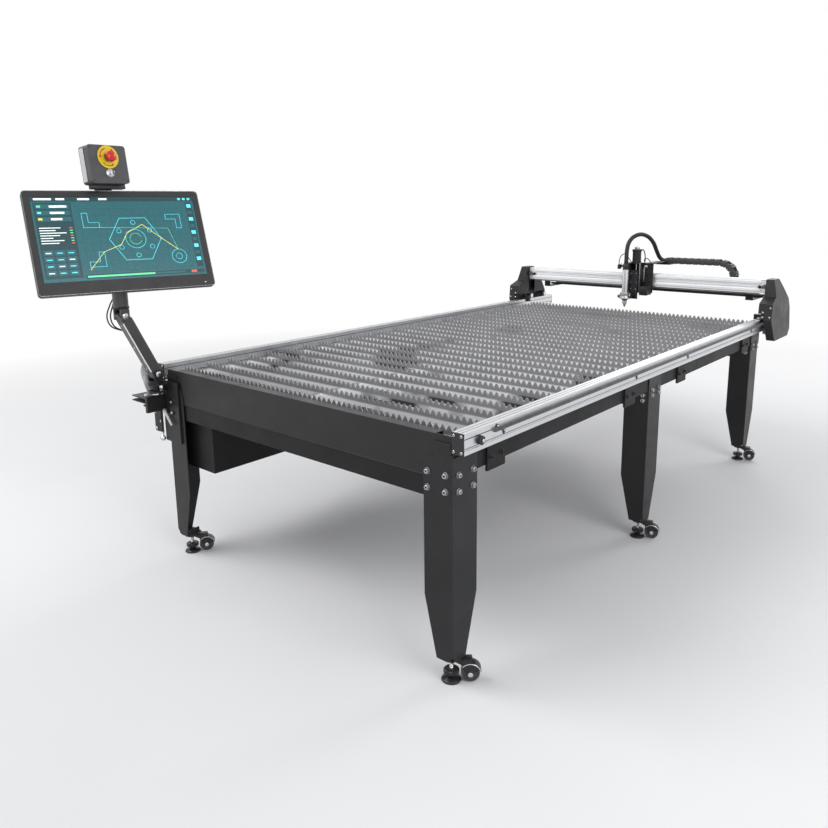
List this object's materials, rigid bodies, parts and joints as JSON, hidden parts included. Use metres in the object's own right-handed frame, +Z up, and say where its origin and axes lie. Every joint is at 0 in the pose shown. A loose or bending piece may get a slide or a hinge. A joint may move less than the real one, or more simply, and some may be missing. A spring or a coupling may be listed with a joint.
{
  "type": "cnc plasma cutting table",
  "caption": "CNC plasma cutting table with saw-tooth slat bed, travelling gantry and torch carriage, levelling castors, and a monitor with emergency stop on a swivel arm.",
  "frame": {"origin": "centre of the model's box, on the floor that the feet stand on", "axes": "+Z up, +Y along the rails from the operator's end to the parked gantry, +X to the operator's right"},
  "size_m": [1.653, 3.3711, 1.5849],
  "materials": {
    "black_powder_coat": "satin",
    "charcoal_panel": "satin",
    "rail_alloy": "satin",
    "beam_alloy": "brushed",
    "bare_steel": "rolled",
    "oiled_steel": "machined",
    "bright_steel": "polished",
    "black_plastic": "matte",
    "wheel_nylon": "satin",
    "screen": "gloss",
    "red_plastic": "gloss",
    "grey_plastic": "matte"
  },
  "bodies": {
    "table": {"front_panel": "charcoal_panel", "base_frame": "black_powder_coat", "legs": "black_powder_coat", "rails": "rail_alloy", "racks": "oiled_steel", "end_caps": "black_powder_coat", "frame_bolts": "black_powder_coat", "slat_bed": "bare_steel", "slag_tray": "bare_steel", "cabinet_body": "black_powder_coat", "cabinet_electronics": "grey_plastic", "arm_bracket": "black_powder_coat"},
    "cabinet_door": {"cabinet_door": "black_powder_coat"},
    "door_latch": {"door_latch": "bright_steel"},
    "levelling_feet": {"levelling_feet": "black_plastic"},
    "gantry": {"gantry_beam": "beam_alloy", "x_rack": "oiled_steel", "truck_plates": "black_powder_coat", "truck_covers": "charcoal_panel", "y_motors": "black_plastic", "chain_tray": "black_powder_coat", "chain_lower_run": "black_plastic"},
    "pinion_left": {"y_pinion_left": "bright_steel"},
    "pinion_right": {"y_pinion_right": "bright_steel"},
    "rollers_top_front": {"rollers_top_front": "bright_steel"},
    "rollers_top_rear": {"rollers_top_rear": "bright_steel"},
    "rollers_low_front": {"rollers_low_front": "bright_steel"},
    "rollers_low_rear": {"rollers_low_rear": "bright_steel"},
    "chain_bend": {"chain_bend": "black_plastic"},
    "carriage": {"carriage_plate": "black_powder_coat", "carriage_motors": "black_plastic", "lifter_housing": "black_powder_coat", "chain_top_run": "black_plastic", "torch_lead": "black_plastic"},
    "x_pinion": {"x_pinion": "bright_steel"},
    "lead_screw": {"lead_screw": "bright_steel"},
    "lifter": {"torch_holder": "black_powder_coat", "torch": "beam_alloy"},
    "arm_base": {"arm_base": "black_powder_coat"},
    "arm_link": {"arm_link": "black_powder_coat"},
    "arm_post": {"arm_post": "black_powder_coat"},
    "monitor_mount": {"monitor_mount": "black_powder_coat"},
    "monitor": {"monitor_shell": "black_plastic", "monitor_screen": "screen", "stop_box": "grey_plastic"},
    "stop_button": {"stop_button": "red_plastic"},
    "key_switch": {"key_switch": "bright_steel"},
    "keyboard_tray": {"keyboard_tray": "black_powder_coat"},
    "castor_1": {"castor_fork_1": "bright_steel"},
    "wheel_1": {"castor_wheel_1": "wheel_nylon"},
    "castor_2": {"castor_fork_2": "bright_steel"},
    "wheel_2": {"castor_wheel_2": "wheel_nylon"},
    "castor_3": {"castor_fork_3": "bright_steel"},
    "wheel_3": {"castor_wheel_3": "wheel_nylon"},
    "castor_4": {"castor_fork_4": "bright_steel"},
    "wheel_4": {"castor_wheel_4": "wheel_nylon"},
    "castor_5": {"castor_fork_5": "bright_steel"},
    "wheel_5": {"castor_wheel_5": "wheel_nylon"},
    "castor_6": {"castor_fork_6": "bright_steel"},
    "wheel_6": {"castor_wheel_6": "wheel_nylon"}
  },
  "joints": [
    {"name": "gantry_travel", "type": "slide", "parent": "table", "child": "gantry", "axis": [0, 1, 0], "range_m": [-2.37, 0]},
    {"name": "carriage_travel", "type": "slide", "parent": "gantry", "child": "carriage", "axis": [1, 0, 0], "range_m": [-0.56, 0.56], "deforming": ["chain_top_run", "chain_lower_run"]},
    {"name": "torch_lift", "type": "slide", "parent": "carriage", "child": "lifter", "axis": [0, 0, 1], "range_m": [-0.012, 0.1], "deforming": ["torch_lead"]},
    {"name": "chain_roll", "type": "slide", "parent": "gantry", "child": "chain_bend", "axis": [1, 0, 0], "range_m": [-0.285, 0.285]},
    {"name": "pinion_turn_right", "type": "hinge", "parent": "gantry", "child": "pinion_right", "pos_m": [0.7955, 1.3526, 0.755], "axis": [0, 0, 1], "range_deg": [-9057.73, 5]},
    {"name": "pinion_turn_left", "type": "hinge", "parent": "gantry", "child": "pinion_left", "pos_m": [-0.7485, 1.3526, 0.755], "axis": [0, 0, 1], "range_deg": [-5, 9057.73]},
    {"name": "roller_turn_top_front", "type": "hinge", "parent": "gantry", "child": "rollers_top_front", "pos_m": [0.0235, 1.4426, 0.795], "axis": [1, 0, 0], "range_deg": [-5, 9242.48]},
    {"name": "roller_turn_low_front", "type": "hinge", "parent": "gantry", "child": "rollers_low_front", "pos_m": [0.0235, 1.4426, 0.703], "axis": [1, 0, 0], "range_deg": [-9242.48, 5]},
    {"name": "roller_turn_top_rear", "type": "hinge", "parent": "gantry", "child": "rollers_top_rear", "pos_m": [0.0235, 1.6026, 0.795], "axis": [1, 0, 0], "range_deg": [-5, 9242.48]},
    {"name": "roller_turn_low_rear", "type": "hinge", "parent": "gantry", "child": "rollers_low_rear", "pos_m": [0.0235, 1.6026, 0.703], "axis": [1, 0, 0], "range_deg": [-9242.48, 5]},
    {"name": "x_pinion_turn", "type": "hinge", "parent": "carriage", "child": "x_pinion", "pos_m": [0.1035, 1.4446, 0.883], "axis": [0, 1, 0], "range_deg": [-2144.04, 2144.04]},
    {"name": "screw_turn", "type": "hinge", "parent": "carriage", "child": "lead_screw", "pos_m": [0.0425, 1.3956, 0.9], "axis": [0, 0, 1], "range_deg": [-437, 3605]},
    {"name": "door_hinge", "type": "hinge", "parent": "table", "child": "cabinet_door", "pos_m": [-0.6825, -0.5744, 0.5], "axis": [0, 0, 1], "range_deg": [-110, 0]},
    {"name": "latch_turn", "type": "hinge", "parent": "cabinet_door", "child": "door_latch", "pos_m": [-0.6765, -1.0244, 0.506], "axis": [1, 0, 0], "range_deg": [0, 90]},
    {"name": "feet_level", "type": "slide", "parent": "table", "child": "levelling_feet", "axis": [0, 0, 1], "range_m": [-0.012, 0]},
    {"name": "castor_swivel_1", "type": "hinge", "parent": "table", "child": "castor_1", "pos_m": [-0.6485, -1.1654, 0.07], "axis": [0, 0, 1], "continuous": true},
    {"name": "wheel_turn_1", "type": "hinge", "parent": "castor_1", "child": "wheel_1", "pos_m": [-0.61638, -1.11953, 0.028], "axis": [0.8192, -0.5736, 0], "continuous": true},
    {"name": "castor_swivel_2", "type": "hinge", "parent": "table", "child": "castor_2", "pos_m": [0.6955, -1.1654, 0.07], "axis": [0, 0, 1], "continuous": true},
    {"name": "wheel_turn_2", "type": "hinge", "parent": "castor_2", "child": "wheel_2", "pos_m": [0.73963, -1.13093, 0.028], "axis": [0.6157, -0.788, 0], "continuous": true},
    {"name": "castor_swivel_3", "type": "hinge", "parent": "table", "child": "castor_3", "pos_m": [-0.6485, 0.1016, 0.07], "axis": [0, 0, 1], "continuous": true},
    {"name": "wheel_turn_3", "type": "hinge", "parent": "castor_3", "child": "wheel_3", "pos_m": [-0.6125, 0.1445, 0.028], "axis": [0.766, -0.6428, 0], "continuous": true},
    {"name": "castor_swivel_4", "type": "hinge", "parent": "table", "child": "castor_4", "pos_m": [0.6955, 0.1016, 0.07], "axis": [0, 0, 1], "continuous": true},
    {"name": "wheel_turn_4", "type": "hinge", "parent": "castor_4", "child": "wheel_4", "pos_m": [0.74666, 0.12437, 0.028], "axis": [0.4067, -0.9135, 0], "continuous": true},
    {"name": "castor_swivel_5", "type": "hinge", "parent": "table", "child": "castor_5", "pos_m": [-0.6485, 1.3686, 0.07], "axis": [0, 0, 1], "continuous": true},
    {"name": "wheel_turn_5", "type": "hinge", "parent": "castor_5", "child": "wheel_5", "pos_m": [-0.6125, 1.41149, 0.028], "axis": [0.766, -0.6428, 0], "continuous": true},
    {"name": "castor_swivel_6", "type": "hinge", "parent": "table", "child": "castor_6", "pos_m": [0.6955, 1.3686, 0.07], "axis": [0, 0, 1], "continuous": true},
    {"name": "wheel_turn_6", "type": "hinge", "parent": "castor_6", "child": "wheel_6", "pos_m": [0.74812, 1.38775, 0.028], "axis": [0.342, -0.9397, 0], "continuous": true},
    {"name": "arm_swivel", "type": "hinge", "parent": "table", "child": "arm_base", "pos_m": [-0.6915, -1.2444, 0.7], "axis": [0, 0, 1], "range_deg": [-90, 5]},
    {"name": "arm_pitch", "type": "hinge", "parent": "arm_base", "child": "arm_link", "pos_m": [-0.6915, -1.2444, 0.75], "axis": [1, 0, 0], "range_deg": [-20, 25]},
    {"name": "post_level", "type": "hinge", "parent": "arm_link", "child": "arm_post", "pos_m": [-0.6915, -1.3574, 0.987], "axis": [1, 0, 0], "range_deg": [-26, 21]},
    {"name": "monitor_swivel", "type": "hinge", "parent": "arm_post", "child": "monitor_mount", "pos_m": [-0.6915, -1.3574, 1.225], "axis": [0, 0, 1], "range_deg": [-40, 40]},
    {"name": "monitor_tilt", "type": "hinge", "parent": "monitor_mount", "child": "monitor", "pos_m": [-0.63443, -1.37177, 1.24097], "axis": [0.2368, 0.9715, 0], "range_deg": [-10, 18]},
    {"name": "stop_press", "type": "slide", "parent": "monitor", "child": "stop_button", "axis": [-0.9885, -0.0761, -0.1305], "range_m": [0, 0.004], "stiffness_N_per_m": 600},
    {"name": "key_turn", "type": "hinge", "parent": "monitor", "child": "key_switch", "pos_m": [-0.6126, -1.3931, 1.49126], "axis": [0.9885, 0.0761, 0.1305], "range_deg": [0, 60]},
    {"name": "tray_swing", "type": "hinge", "parent": "table", "child": "keyboard_tray", "pos_m": [-0.7285, -1.2674, 0.639], "axis": [0, 0, 1], "range_deg": [0, 75]}
  ],
  "couplings": [
    {"joint": "chain_roll", "follows": "carriage_travel", "ratio": 0.5},
    {"joint": "pinion_turn_right", "follows": "gantry_travel", "rad_per_m": 66.667},
    {"joint": "pinion_turn_left", "follows": "gantry_travel", "rad_per_m": -66.667},
    {"joint": "roller_turn_top_front", "follows": "gantry_travel", "rad_per_m": -68.027},
    {"joint": "roller_turn_top_rear", "follows": "gantry_travel", "rad_per_m": -68.027},
    {"joint": "roller_turn_low_front", "follows": "gantry_travel", "rad_per_m": 68.027},
    {"joint": "roller_turn_low_rear", "follows": "gantry_travel", "rad_per_m": 68.027},
    {"joint": "x_pinion_turn", "follows": "carriage_travel", "rad_per_m": -66.667},
    {"joint": "screw_turn", "follows": "torch_lift", "rad_per_m": 628.32},
    {"joint": "post_level", "follows": "arm_pitch", "ratio": -1}
  ]
}
